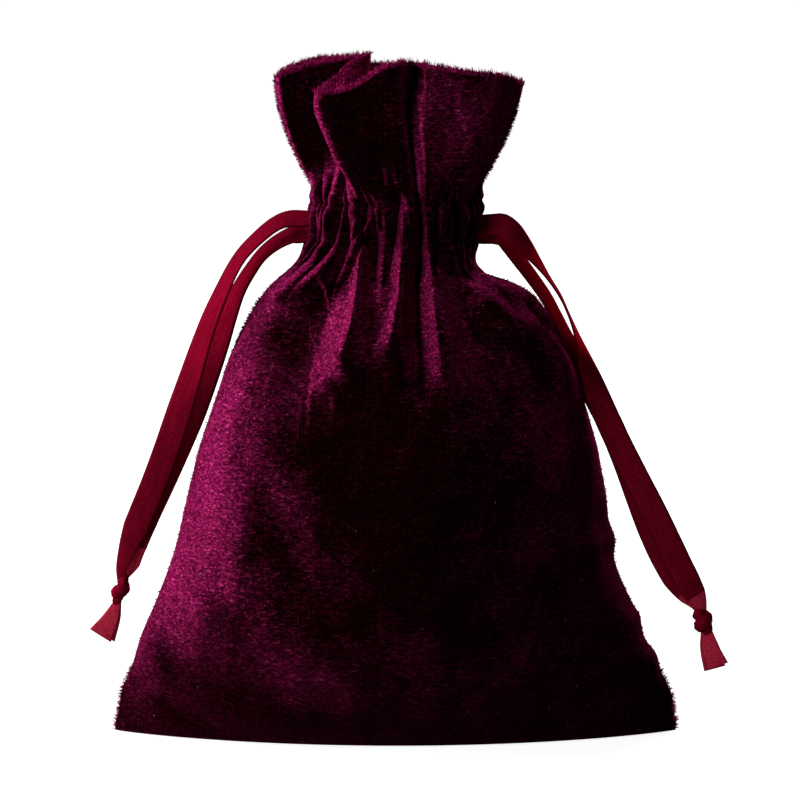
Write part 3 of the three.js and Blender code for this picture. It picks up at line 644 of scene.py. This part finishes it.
def make_camera():
    data = bpy.data.cameras.new("camera")
    data.sensor_width = 36
    data.lens = data.sensor_width * CAMERA_DISTANCE / VIEW_WIDTH
    camera = bpy.data.objects.new("camera", data)
    direction = Vector((0, -math.cos(CAMERA_ELEVATION), math.sin(CAMERA_ELEVATION)))
    camera.location = CAMERA_TARGET + direction * CAMERA_DISTANCE
    camera.rotation_euler = Euler((math.radians(90) - CAMERA_ELEVATION, 0, 0))
    bpy.context.scene.collection.objects.link(camera)
    bpy.context.scene.camera = camera


make_camera()

# ------------------------------------------------------------------------------------------------
# Ribbons.


def ribbon_mesh(name, stations, widths, samples, edge_lift, reverse_from=1.0):
    """A flat ribbon along stations of (x, y, z, turn). It shows its reverse from a share of its length
    onwards. Returns the object and its centreline."""
    stations = np.array(stations, float)
    chord = chord_of(stations[:, :3])
    along = np.linspace(0, chord[-1], samples)
    line = on_line(stations, chord, along)
    turn = np.radians(smooth(along, chord, stations[:, 3]))
    shares, sizes = np.array(widths, float).T
    width = np.interp(along / chord[-1], shares, sizes)
    tangent = unit(np.gradient(line, axis=0))
    depth = np.array([0.0, 1.0, 0.0])
    across = unit(np.cross(depth, tangent))
    side = across * np.cos(turn)[:, None] + depth * np.sin(turn)[:, None]
    side = unit(side - tangent * np.sum(side * tangent, axis=1, keepdims=True))
    normal = np.cross(tangent, side)
    half = RIBBON_THICK / 2
    share = np.linspace(-1, 1, 9)
    ring = [(s, half * (RIBBON_SELVEDGE if abs(s) > 0.9 else 1.0)) for s in share]
    ring += [(s, -h) for s, h in reversed(ring)]
    rows = []
    for s, lift in ring:
        cup = edge_lift * (s * s - 0.4)
        rows.append(line + side * (s * width / 2)[:, None] + normal * (lift + cup))
    vertices = np.stack(rows, axis=1).reshape(-1, 3)
    count = len(ring)
    obj = mesh_object(name, vertices, tube_faces(samples, count), SATIN)
    obj.data.materials.append(SATIN_REVERSE)
    for face in obj.data.polygons:
        face.material_index = int(min(face.vertices) >= reverse_from * samples * count)
    layer = obj.data.uv_layers.new(name="UVMap")
    ring_place = [s for s, _ in ring]
    for loop in obj.data.loops:
        row, column = divmod(loop.vertex_index, count)
        layer.data[loop.index].uv = (ring_place[column] * 0.5 + 0.5, along[row] * RIBBON_GRAIN)
    return obj, line


def make_strand(name):
    """One strand of a free ribbon, from inside the casing to the knot."""
    place, strand = name.split("_")
    sign = sign_of(place)
    y, z, turn = RUNS[name]
    inner = [(sign * x, y * s, z + (1 - s) * 0.3, turn) for x, s in CASING_STATIONS]
    knot, radii, _ = KNOTS[place]
    last_turn = STRANDS[name][-1][3]
    stations = inner + STRANDS[name] + [(knot[0], knot[1], knot[2] + 0.55 * radii[2], last_turn)]
    widths = CASING_WIDTHS + KNOT_WIDTHS[name]
    obj, line = ribbon_mesh(f"{name}_ribbon", stations, widths, 160, 0.16, REVERSE_FROM[name])
    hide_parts(f"{place}_ribbon_{strand}_run", f"{place}_ribbon_{strand}_strand")
    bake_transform(obj)
    outside = line[np.abs(line[:, 0]) >= SLIT_X]
    length = np.sum(np.linalg.norm(np.diff(outside, axis=0), axis=1))
    return obj, outside, length


def make_tail(name):
    """A cut end below a knot. It shows its reverse."""
    place, strand = name.split("_")
    obj, _ = ribbon_mesh(f"{name}_tail", TAILS[name], TAIL_WIDTHS[place], 24, 0.1, 0.0)
    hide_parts(f"{place}_ribbon_{strand}_tail")
    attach(obj, f"{place}_ribbon_end")
    return obj


def make_knot(place):
    """An overhand knot: the strands' core, and the turn of ribbon that is pulled tight round it."""
    centre, radii, lean = KNOTS[place]
    samples = 96
    t = np.linspace(0, 1, samples)
    angle = 2 * math.pi * WRAP_TURNS * t + 0.6
    radius = 0.66 + 0.12 * np.sin(math.pi * t)
    climb = 1.25 * (t - 0.5)
    line = np.stack(
        [radii[0] * radius * np.cos(angle), radii[1] * radius * np.sin(angle), radii[2] * climb], axis=1
    )
    outward = unit(np.stack([np.cos(angle), np.sin(angle), 0.25 * climb], axis=1))
    tangent = unit(np.gradient(line, axis=0))
    side = unit(np.cross(tangent, outward))
    section = 16
    swell = np.sin(math.pi * np.clip(t, 0.04, 0.96)) ** 0.35
    rows = []
    for k in range(section):
        a = 2 * math.pi * k / section
        pleat = 0.12 * math.cos(4 * a)
        wide = (WRAP_WIDE + pleat) * math.cos(a) * swell
        high = (WRAP_HIGH + pleat) * math.sin(a) * swell
        rows.append(line + side * wide[:, None] + outward * high[:, None])
    wrap = np.stack(rows, axis=1).reshape(-1, 3)
    core, core_faces = knot_core(radii, len(wrap))
    vertices = np.vstack([wrap, core])
    turned = Matrix.Rotation(math.radians(lean), 3, "Y")
    vertices = vertices @ np.array(turned).T + np.array(centre)
    faces = tube_faces(samples, section) + core_faces
    obj = mesh_object(f"{place}_knot", vertices, faces, SATIN)
    layer = obj.data.uv_layers.new(name="UVMap")
    for loop in obj.data.loops:
        row, column = divmod(loop.vertex_index, section)
        layer.data[loop.index].uv = (column / section, row * 0.4)
    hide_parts(f"{place}_ribbon_knot")
    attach(obj, f"{place}_ribbon_end")
    return obj


def knot_core(radii, offset):
    """The bundle inside the knot, creased along its length where both strands are squeezed."""
    rings, section = 18, 20
    points = []
    for i in range(rings):
        h = -1 + 2 * i / (rings - 1)
        waist = 0.30 + 0.34 * math.sqrt(max(0.0, 1 - h * h))
        for k in range(section):
            a = 2 * math.pi * k / section
            r = waist * (1 + 0.16 * math.cos(5 * a + 1.5 * h))
            points.append((radii[0] * r * math.cos(a), radii[1] * r * math.sin(a), radii[2] * 1.12 * h))
    return np.array(points), tube_faces(rings, section, offset)


def make_ribbons():
    for place in ("left", "right"):
        knot = make_knot(place)
        for strand in ("front", "back"):
            name = f"{place}_{strand}"
            obj, line, length = make_strand(name)
            tail = make_tail(name)


make_ribbons()

# ------------------------------------------------------------------------------------------------
# Velvet. Both panels are grids with the same rows and columns. A column is a share of the way
# across, from -1 at the left seam to 1 at the right, and rows run from the bottom seam up the
# belly and the header, over the rim and down the facing.

SIDES = {"front": -1, "back": 1}
FOLDS = {"front": FRONT_FOLDS, "back": BACK_FOLDS}
RIMS = {"front": FRONT_RIM, "back": BACK_RIM}
# Where a share of the way across the casing comes out along the rim.
RIM_SHARES = {
    "front": [(-1, -1), (-0.66, -0.54), (-0.31, -0.19), (0.02, 0.17), (0.2, 0.37), (0.5, 0.61), (1, 1)],
    "back": [(-1, -1), (0, 0), (1, 1)],
}
COLUMNS = 241
BELLY_ROWS = 168
CASING_ROWS = 22
HEADER_ROWS = 48
HEM_ROWS = 14


def gathers(side):
    """The valleys between a panel's gathers: where each is on the way across, from 0 to 1, and how
    much it leans. Then each gather's height, and how far it lasts below and above the casing."""
    rng = np.random.default_rng(GATHER_SEED + side)
    steps = rng.uniform(0.55, 1.6, GATHERS_PER_PANEL)
    valleys = np.r_[0, np.cumsum(steps)] / steps.sum()
    leans = np.r_[0, rng.uniform(-0.42, 0.42, GATHERS_PER_PANEL - 1), 0] / GATHERS_PER_PANEL
    heights = GATHER_HEIGHT * rng.uniform(0.5, 1.15, GATHERS_PER_PANEL) * (steps / steps.mean()) ** 0.6
    down = rng.uniform(*GATHER_REACH_DOWN, GATHERS_PER_PANEL)
    up = rng.uniform(*GATHER_REACH_UP, GATHERS_PER_PANEL)
    return valleys, leans, heights, down, up


def gather_height(side, share, z):
    """How far the gathers stand out at the casing and fade away from it: round lobes with sharp
    valleys between them. share is the way across, from 0 at the left seam to 1 at the right."""
    valleys, leans, heights, reach_down, reach_up = gathers(side)
    share, z = np.broadcast_arrays(share, z)
    below = np.maximum(CASING_LOW - z, 0)
    above = np.maximum(z - CASING_HIGH, 0)
    middle = (CASING_LOW + CASING_HIGH) / 2
    total = np.zeros(share.shape)
    for k in range(GATHERS_PER_PANEL):
        lean = np.clip((z - middle) / 10, -1.5, 1.5)
        start = valleys[k] + leans[k] * lean
        end = valleys[k + 1] + leans[k + 1] * lean
        across = np.clip((share - start) / (end - start), 0, 1)
        fade = np.exp(-((below / reach_down[k]) ** 1.6)) * np.exp(-((above / reach_up[k]) ** 1.4))
        total += heights[k] * fade * np.sin(math.pi * across) ** 0.75
    return total


def pucker_height(side, share, z):
    """The small puckers of the casing, each at its own height between the rows of stitching."""
    rng = np.random.default_rng(GATHER_SEED + 20 + side)
    steps = rng.uniform(0.6, 1.5, PUCKERS_PER_PANEL)
    ends = np.r_[0, np.cumsum(steps)] / steps.sum()
    heights = PUCKER_HEIGHT * rng.uniform(0.3, 1.1, PUCKERS_PER_PANEL)
    middles = (CASING_LOW + CASING_HIGH) / 2 + rng.uniform(-1.6, 1.6, PUCKERS_PER_PANEL)
    leans = rng.uniform(-0.5, 0.5, PUCKERS_PER_PANEL) / PUCKERS_PER_PANEL
    share, z = np.broadcast_arrays(share, z)
    total = np.zeros(share.shape)
    for start, end, height, middle, lean in zip(ends, ends[1:], heights, middles, leans):
        away = (z - middle) / PUCKER_REACH
        across = np.clip((share - start - lean * away) / (end - start), 0, 1)
        total += height * np.exp(-(away**4)) * np.sin(math.pi * across)
    return total


def fold_height(folds, x, z):
    """The sum of the folds' heights over the points (x, z), seen from the front."""
    total = np.zeros(x.shape)
    for fold in folds:
        best = np.zeros(x.shape)
        for (x0, z0, h0, l0, r0), (x1, z1, h1, l1, r1) in zip(fold, fold[1:]):
            dx, dz = x1 - x0, z1 - z0
            t = np.clip(((x - x0) * dx + (z - z0) * dz) / (dx * dx + dz * dz), 0, 1)
            away_x = x - x0 - t * dx
            distance = np.hypot(away_x, z - z0 - t * dz)
            width = np.where(away_x < 0, l0 + t * (l1 - l0), r0 + t * (r1 - r0))
            height = (h0 + t * (h1 - h0)) * np.exp(-((distance / width) ** 2))
            best = np.where(np.abs(height) > np.abs(best), height, best)
        total += best
    return total


def slack(x, y, z, seed):
    """Soft unevenness of cloth, in millimetres, from a few crossing waves."""
    rng = random.Random(seed)
    total = np.zeros(np.broadcast(x, y, z).shape)
    for _ in range(SLACK_WAVES):
        length = rng.uniform(9, 34)
        aim = np.array([rng.gauss(0, 1), rng.gauss(0, 0.7), rng.gauss(0, 0.8)])
        aim /= np.linalg.norm(aim)
        phase = rng.uniform(0, 2 * math.pi)
        wave = np.sin(2 * math.pi * (aim[0] * x + aim[1] * y + aim[2] * z) / length + phase)
        total += wave * length * SLACK_HEIGHT
    return total


def pinch(z):
    """The two rows of stitching draw the cloth in, and the ribbon between them fills it out."""
    rows = sum(np.exp(-(((z - row) / 0.8) ** 2)) for row in (CASING_LOW, CASING_HIGH))
    return 0.7 * np.exp(-(((z - (CASING_LOW + CASING_HIGH) / 2) / 2.8) ** 2)) - 0.7 * rows


def belly_points(place, angle, z):
    """The panel's points at these angles and heights: the outline, its folds and its gathers."""
    side = SIDES[place]
    angle, z = np.broadcast_arrays(angle, z)
    width = np.where(angle < 0, table(LEFT_WIDTH, z), table(RIGHT_WIDTH, z))
    depth = table(DEPTH, z)
    power = table(PILLOW, z)
    sine, cosine = np.sin(angle), np.maximum(np.cos(angle), 1e-3)
    x = width * sine
    y = depth * cosine**power
    normal = unit(np.stack([depth * power * cosine ** (power - 1) * sine, width * cosine], axis=-1))
    near_seam = math.pi / 2 - np.abs(angle)
    free = ease(near_seam / 0.30)
    out = fold_height(FOLDS[place], x, z) * free
    out += gather_height(side, angle / math.pi + 0.5, z) + pucker_height(side, angle / math.pi + 0.5, z)
    out += 1.7 * slack(x, y * side, z, 5) * free * ease(z / 12)
    out += slack(0 * x, 0 * x, z * 3.1, 8 + side) * 0.35 * np.exp(-near_seam * width / 6) * ease(z / 12)
    out -= 0.8 * np.exp(-((near_seam * width / 1.6) ** 2)) * ease(z / 10)
    out += pinch(z) * free
    x = x + normal[..., 0] * out
    y = np.maximum(y + normal[..., 1] * out, SEAM_GAP)
    return np.stack([x, side * y, z + 0 * x], axis=-1)


def rim_points(place, share):
    """Where the shares of the way across come out along the rim."""
    rim = np.array(RIMS[place], float)
    chord = chord_of(rim)
    points = on_line(rim, chord, (table(RIM_SHARES[place], share) + 1) / 2 * chord[-1])
    points[:, 1] += SIDES[place] * SEAM_GAP * ease((np.abs(share) - 0.97) / 0.03)
    return points


def header_points(place, share, heights):
    """The header's outer face, from the casing to the rim. A smooth surface comes first, and the
    gathers and the header's own folds stand out from it."""
    side = SIDES[place]
    angle = share * math.pi / 2
    width = np.where(angle < 0, LEFT_WIDTH[-1][1], RIGHT_WIDTH[-1][1])
    depth = side * DEPTH[-1][1]
    flat = np.stack([width * np.sin(angle), depth * np.cos(angle), 0 * share + CASING_HIGH], axis=-1)
    flat[:, 1] += side * SEAM_GAP
    rim = rim_points(place, share)
    flare = flat[:, 0] * 0.5 + (rim - flat)[:, 0]
    start = np.stack([flare, flat[:, 1] * 0.35, np.full(share.shape, HEADER_RISE)], axis=-1)
    end = (rim - flat) * np.array([0.15, 0.45, 1.0])
    v = np.concatenate([[0.0], heights])[:, None, None]
    base = (1 + 2 * v) * (1 - v) ** 2 * flat + v * (1 - v) ** 2 * start
    base = base + v * v * (3 - 2 * v) * rim + v * v * (v - 1) * end
    normal = surface_normals(base) * -side
    x, y, z = base[..., 0], base[..., 1], base[..., 2]
    out = gather_height(side, share[None, :] / 2 + 0.5, z)
    out += pinch(z) + fold_height(HEADER_FOLDS[place], (share * 100)[None, :] + 0 * out, z)
    out += 2.6 * slack(x, y, z, 21 + side) * ease((z - CASING_HIGH) / 6)
    out *= ease((1 - np.abs(share)) / 0.12)[None, :]
    points = base + normal * out[..., None]
    low = belly_points(place, angle, np.full(share.shape, CASING_HIGH))
    settle = np.exp(-((v * HEADER_RISE / 2.5) ** 2))
    points = points + settle * (low - points[0])
    return points[1:]


def surface_normals(points):
    across = np.gradient(points, axis=1)
    along = np.gradient(points, axis=0)
    return unit(np.cross(across, along))


def panel_grid(place):
    """All the panel's points: base, belly, casing, header, rim, facing and hem."""
    side = SIDES[place]
    share = np.linspace(-1, 1, COLUMNS)
    share = np.sign(share) * (1 - (1 - np.abs(share)) ** 1.12)
    angle = share[None, :] * math.pi / 2
    foot = belly_points(place, angle, np.zeros((1, 1)))[0]
    base = []
    for reach in (0.04, 0.2, 0.4, 0.6, 0.8, 0.92):
        row = foot.copy()
        row[:, 1] = side * np.maximum(np.abs(foot[:, 1]) * reach, SEAM_GAP)
        row[:, 2] = 0.5 * (1 - reach)
        base.append(row)
    belly_z = np.linspace(0, CASING_LOW, BELLY_ROWS)[:, None]
    casing_z = np.linspace(CASING_LOW, CASING_HIGH, CASING_ROWS)[1:, None]
    belly = belly_points(place, angle, np.vstack([belly_z, casing_z]))
    header = header_points(place, share, np.linspace(0, 1, HEADER_ROWS)[1:])
    outer = np.concatenate([np.array(base), belly, header])
    normal = surface_normals(outer) * -side
    top = len(outer) - 1
    casing_top = len(base) + len(belly) - 1
    gap = HEADER_GAP * (0.12 + 0.88 * ease((1 - np.abs(share)) / 0.14))
    facing = outer[casing_top:] - normal[casing_top:] * gap[:, None]
    rim_up = unit(outer[top] - outer[top - 2])
    rim = []
    for turn in np.linspace(0, math.pi, 7)[1:-1]:
        middle, half = (outer[top] + facing[-1]) / 2, (outer[top] - facing[-1]) / 2
        rim.append(middle + half * math.cos(turn) + rim_up * (gap[:, None] / 2 * math.sin(turn)))
    hem = hem_points(place, share, facing[0])
    return np.concatenate([outer, np.array(rim), facing[::-1], hem]), top, casing_top


def hem_points(place, share, start):
    """The facing's end, from the top of the casing to the hem inside it."""
    angle = share * math.pi / 2
    ripple = 1 + 0.05 * np.cos(angle * 22)
    low = np.stack(
        [
            HEM_WIDTH * np.sin(angle) * ripple,
            SIDES[place] * np.maximum(HEM_DEPTH * np.cos(angle) * ripple, SEAM_GAP),
            np.full(share.shape, FACING_LOW),
        ],
        axis=-1,
    )
    return np.array([start + (low - start) * (k / HEM_ROWS) for k in range(1, HEM_ROWS + 1)])


def blend_header(obj):
    """Bakes the object's transform into its mesh; the header is not moved."""
    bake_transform(obj)


def solid_cloth(name, grid, side, material):
    """A closed sheet of cloth from the grid of its outer face. It thins out at its side edges."""
    rows, columns = grid.shape[:2]
    across = np.linalg.norm(grid - grid[:, :1], axis=-1)
    from_edge = np.minimum(across, np.linalg.norm(grid - grid[:, -1:], axis=-1))
    thick = CLOTH_THICK * (0.15 + 0.85 * ease(from_edge / 4.0))
    inner = grid + surface_normals(grid) * (side * thick[..., None])
    points = np.concatenate([grid.reshape(-1, 3), inner.reshape(-1, 3)])
    faces = sheet_faces(rows, columns)
    if side > 0:
        faces = [f[::-1] for f in faces]
    return mesh_object(name, points, faces, material)


def make_panel(place):
    """A panel, from the bottom seam to the hem, with the turned-in cloth in its own material, whose ground
    is painted lighter as painted light.
    """
    grid, top, casing_top = panel_grid(place)
    obj = solid_cloth(f"{place}_velvet", grid, SIDES[place], VELVET)
    obj.data.materials.append(TURNED_PAINTED_LIGHT)
    last = top * COLUMNS
    for face in obj.data.polygons:
        face.material_index = int(min(face.vertices) >= last and max(face.vertices) < grid.size // 3)
    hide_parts(*(f"{place}_{part}" for part in ("panel", "casing", "facing", "header")))
    blend_header(obj)
    return obj, grid, top, casing_top


STITCH_PITCH = 2.4
STITCH_LENGTH = 1.8
STITCH_RADII = 0.16 * np.array([0.4, 0.9, 1, 1, 0.9, 0.4])


def stitches(place, grid, row, name, node):
    """A row of stitches that follows the gathers, sunk a little into the pile."""
    line = grid[row] + surface_normals(grid[row - 1:row + 2])[1] * (SIDES[place] * STITCH_SUNK)
    chord = chord_of(line)
    vertices, faces = [], []
    for start in np.arange(1.0, chord[-1] - STITCH_PITCH, STITCH_PITCH):
        at = np.linspace(start, start + STITCH_LENGTH, len(STITCH_RADII))
        add_tube(vertices, faces, on_line(line, chord, at), STITCH_RADII, 6)
    obj = mesh_object(name, vertices, faces, THREAD)
    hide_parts(node)
    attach(obj, "pouch")


def add_tube(vertices, faces, points, radii, sides):
    """Adds a closed tube along points to lists of vertices and faces."""
    first = len(vertices)
    tangent = unit(np.gradient(points, axis=0))
    helper = np.array([0.3, 0.2, 0.93])
    side = unit(np.cross(tangent, helper))
    other = np.cross(tangent, side)
    for point, radius, s, o in zip(points, radii, side, other):
        for k in range(sides):
            a = 2 * math.pi * k / sides
            vertices.append(point + radius * (math.cos(a) * s + math.sin(a) * o))
    faces += tube_faces(len(points), sides, first)


# Tufts of pile: the seed, how many stand on each of the rim's three lines, on a side seam and on a
# side of the header, and a tuft's radii from its root to its tip.
FRINGE_SEED = 4
RIM_TUFTS = 560
SEAM_TUFTS = 900
HEADER_TUFTS = 320
TUFT_RADII = np.array([0.11, 0.08, 0.014])


def fringe(name, roots, outward, along, lengths):
    """Tufts of pile that stand out at an edge. Each is a thin bent cone."""
    rng = np.random.default_rng(FRINGE_SEED)
    vertices, faces = [], []
    for root, out, run, length in zip(roots, outward, along, lengths):
        lean = unit(out + run * rng.normal(0, 0.30) + rng.normal(0, 0.26, 3))
        droop = unit(lean + rng.normal(0, 0.3, 3))
        tip = root + (lean + droop) * 0.5 * length
        points = np.array([root - out * 0.25, root + lean * length * 0.5, tip])
        add_tube(vertices, faces, points, TUFT_RADII, 3)
    return mesh_object(name, vertices, faces, PILE_PAINTED_SHEEN)


def sampled(line, count, seed):
    """count random places on a line: points, and the share of its length of each."""
    rng = np.random.default_rng(seed)
    chord = chord_of(line)
    at = np.sort(rng.uniform(0, chord[-1], count))
    return np.stack([np.interp(at, chord, line[:, k]) for k in range(3)], axis=1), at / chord[-1]


def rim_fringe(place, grid, top):
    """Pile along the rim, where the cloth turns over."""
    rows = []
    for offset, seed in ((0, 1), (2, 2), (4, 3)):
        line = grid[top + offset]
        points, at = sampled(line, RIM_TUFTS, seed)
        inner, _ = sampled(grid[top + offset - 2], RIM_TUFTS, seed)
        spread = unit(np.gradient(line, axis=0))
        places = np.linspace(0, 1, len(line))
        run = np.stack([np.interp(at, places, spread[:, k]) for k in range(3)], axis=1)
        up = unit(points - inner) * np.array([1.0, 1.0, 0.6]) + np.array([0, 0, 0.5])
        rows.append((points, unit(up), run))
    roots, outward, along = (np.concatenate(part) for part in zip(*rows))
    lengths = np.random.default_rng(FRINGE_SEED + 1).uniform(0.5, 1.6, len(roots))
    obj = fringe(f"{place}_rim_pile", roots, outward, along, lengths)
    blend_header(obj)
    return obj


def seam_fringe(place):
    """Pile that stands out of a side seam, between the bottom corner and the casing."""
    sign = sign_of(place)
    count = SEAM_TUFTS
    rng = np.random.default_rng(FRINGE_SEED + 7 + sign)
    z = rng.uniform(0.6, CASING_LOW - 1, count)
    z[: count // 4] = rng.uniform(92, CASING_HIGH, count // 4)
    z[-count // 8:] = rng.uniform(0.3, 15, count // 8 + 1)
    widths = LEFT_WIDTH if sign < 0 else RIGHT_WIDTH
    width = table(widths, z)
    slope = table(widths, np.minimum(z + 0.5, CASING_HIGH)) - table(widths, np.maximum(z - 0.5, 0))
    outward = unit(np.stack([np.full(count, sign * 1.0), rng.normal(0, 0.5, count), -slope], axis=1))
    roots = np.stack([sign * (width - 0.3), rng.uniform(-0.7, 0.7, count), z], axis=1)
    along = np.tile([0.0, 0.0, 1.0], (count, 1))
    lengths = rng.uniform(0.3, 0.9, count) * np.where(z < 15, 1.7, 1.0)
    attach(fringe(f"{place}_seam_pile", roots, outward, along, lengths), "pouch")


def header_seam_fringe(place, grid, top, casing_top):
    """Pile at the header's sewn sides."""
    column = 0 if place == "left" else -1
    line = grid[casing_top:top + 1, column]
    points, _ = sampled(line, HEADER_TUFTS, 9)
    outward = unit(np.tile([sign_of(place) * 1.0, 0.0, -0.15], (len(points), 1)))
    along = np.tile([0.0, 0.0, 1.0], (len(points), 1))
    lengths = np.random.default_rng(3).uniform(0.25, 0.7, len(points))
    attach(fringe(f"{place}_header_seam_pile", points, outward, along, lengths), "pouch")


def make_seam(place):
    """A side seam's allowance: both panels' edges, laid together inside."""
    sign = sign_of(place)
    z = np.linspace(7, 106, 130)
    width = table(LEFT_WIDTH if sign < 0 else RIGHT_WIDTH, z)
    vertices, faces = [], []
    reach = np.linspace(0.9, ALLOWANCE, 8)
    for layer in (-1, 1):
        first = len(vertices)
        for face in (0.06, 0.36):
            y = layer * face + 0.10 * np.sin(z * 0.9)[:, None] * (reach / ALLOWANCE)[None, :]
            sheet = np.stack([sign * (width[:, None] - reach), y, z[:, None] + 0 * reach], axis=-1)
            vertices.extend(sheet.reshape(-1, 3))
        faces += sheet_faces(len(z), len(reach), first)
    obj = mesh_object(f"{place}_seam", vertices, faces, INSIDE)
    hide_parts(f"{place}_seam_allowance")
    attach(obj, "pouch")
    overlock_seam(place, z, width)


def overlock_seam(place, z, width):
    """The loops of thread round the allowance's cut edge."""
    sign = sign_of(place)
    a = np.linspace(0, 2 * math.pi, 9)[:-1]
    vertices, faces = [], []
    for start in np.arange(8, 105, 1.6):
        edge = np.interp(start, z, width) - ALLOWANCE
        x = sign * (edge + 1.0 - 1.2 * np.cos(a))
        ring = np.stack([x, 0.62 * np.sin(a), start + 0.8 * a / math.pi], axis=1)
        add_tube(vertices, faces, ring, np.full(len(ring), 0.14), 5)
    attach(mesh_object(f"{place}_seam_overlock", vertices, faces, THREAD), "pouch")


def make_pouch():
    for place in ("left", "right"):
        make_seam(place)
    grids = {}
    for place in SIDES:
        obj, *grids[place] = make_panel(place)
        grid, top, casing_top = grids[place]
        for level, row in (("lower", casing_top - (CASING_ROWS - 1)), ("upper", casing_top)):
            stitches(place, grid, row, f"{place}_{level}_stitches", f"{place}_{level}_stitching")
        pile = rim_fringe(place, grid, top)
    for place in ("left", "right"):
        seam_fringe(place)
        header_seam_fringe(place, *grids["front"])


make_pouch()

# ------------------------------------------------------------------------------------------------
# The CAD nodes that stay, the studio, and the end.

for kept, material in (
    ("bottom_seam_allowance", INSIDE), ("bottom_seam_stitching", THREAD),
    ("left_seam_stitching", THREAD), ("right_seam_stitching", THREAD),
    ("left_ribbon_in_casing", SATIN), ("right_ribbon_in_casing", SATIN),
):
    node = bpy.data.objects[kept]
    node.data.materials.clear()
    node.data.materials.append(material)


# In metres and watts: name, place, size, power. All lights point at LIGHTS_AIM.
LIGHTS = (
    ("key_left", (-0.75, 0.12, 0.32), (0.5, 0.9), 12.5),
    ("rim_right", (0.5, 0.75, 0.35), (0.25, 0.8), 8),
    ("fill_front", (-1.0, -0.95, 0.6), (0.5, 0.5), 12),
)
LIGHTS_AIM = (0, 0, 0.08)
AMBIENT = 0.03
FLOOR_REACH = 60.0
FLOOR_HEIGHT = -0.0004  # just below the base


def area_light(name, location, size, power):
    """A soft light that points at the pouch."""
    data = bpy.data.lights.new(name, "AREA")
    data.shape = "RECTANGLE"
    data.size, data.size_y = size
    data.energy = power
    light = bpy.data.objects.new(name, data)
    light.location = location
    aim = Vector(LIGHTS_AIM) - Vector(location)
    light.rotation_euler = aim.to_track_quat("-Z", "Y").to_euler()
    bpy.context.scene.collection.objects.link(light)


def make_floor():
    """A pale glowing floor that is a little darker under the pouch, from real shadow and from painted
    shadow: its glow is a little lower near the middle.
    """
    mesh = bpy.data.meshes.new("floor")
    far = FLOOR_REACH
    mesh.from_pydata([(-far, -far, 0), (far, -far, 0), (far, far, 0), (-far, far, 0)], [], [(0, 1, 2, 3)])
    n = Nodes("pale_floor")
    place = n.add("TexCoord").outputs["Object"]
    away = n.add("VectorMath", {0: place}, operation="LENGTH").outputs["Value"]
    n.set(
        Base_Color=(0.5, 0.5, 0.5, 1),
        Roughness=0.8,
        Specular_IOR_Level=0.0,
        Emission_Color=(1, 1, 1, 1),
        # Painted shadow: the glow is weaker near the pouch.
        Emission_Strength=n.ramp(away, (0.08, grey(0.86)), (0.9, grey(1.0))),
    )
    mesh.materials.append(n.material)
    floor = bpy.data.objects.new("floor", mesh)
    floor.location.z = FLOOR_HEIGHT
    bpy.context.scene.collection.objects.link(floor)
    floor.visible_diffuse = False


def make_world():
    """White where the camera sees it, and a faint light for the rest."""
    world = bpy.data.worlds.new("studio")
    bpy.context.scene.world = world
    world.use_nodes = True
    nodes, links = world.node_tree.nodes, world.node_tree.links
    background = nodes["Background"]
    background.inputs["Color"].default_value = (1, 1, 1, 1)
    seen = nodes.new("ShaderNodeLightPath").outputs["Is Camera Ray"]
    strength = nodes.new("ShaderNodeMapRange")
    strength.inputs["To Min"].default_value = AMBIENT
    strength.inputs["To Max"].default_value = 1.0
    links.new(seen, strength.inputs["Value"])
    links.new(strength.outputs["Result"], background.inputs["Strength"])


make_floor()
make_world()
for light in LIGHTS:
    area_light(*light)
bpy.context.scene.view_settings.view_transform = "Standard"
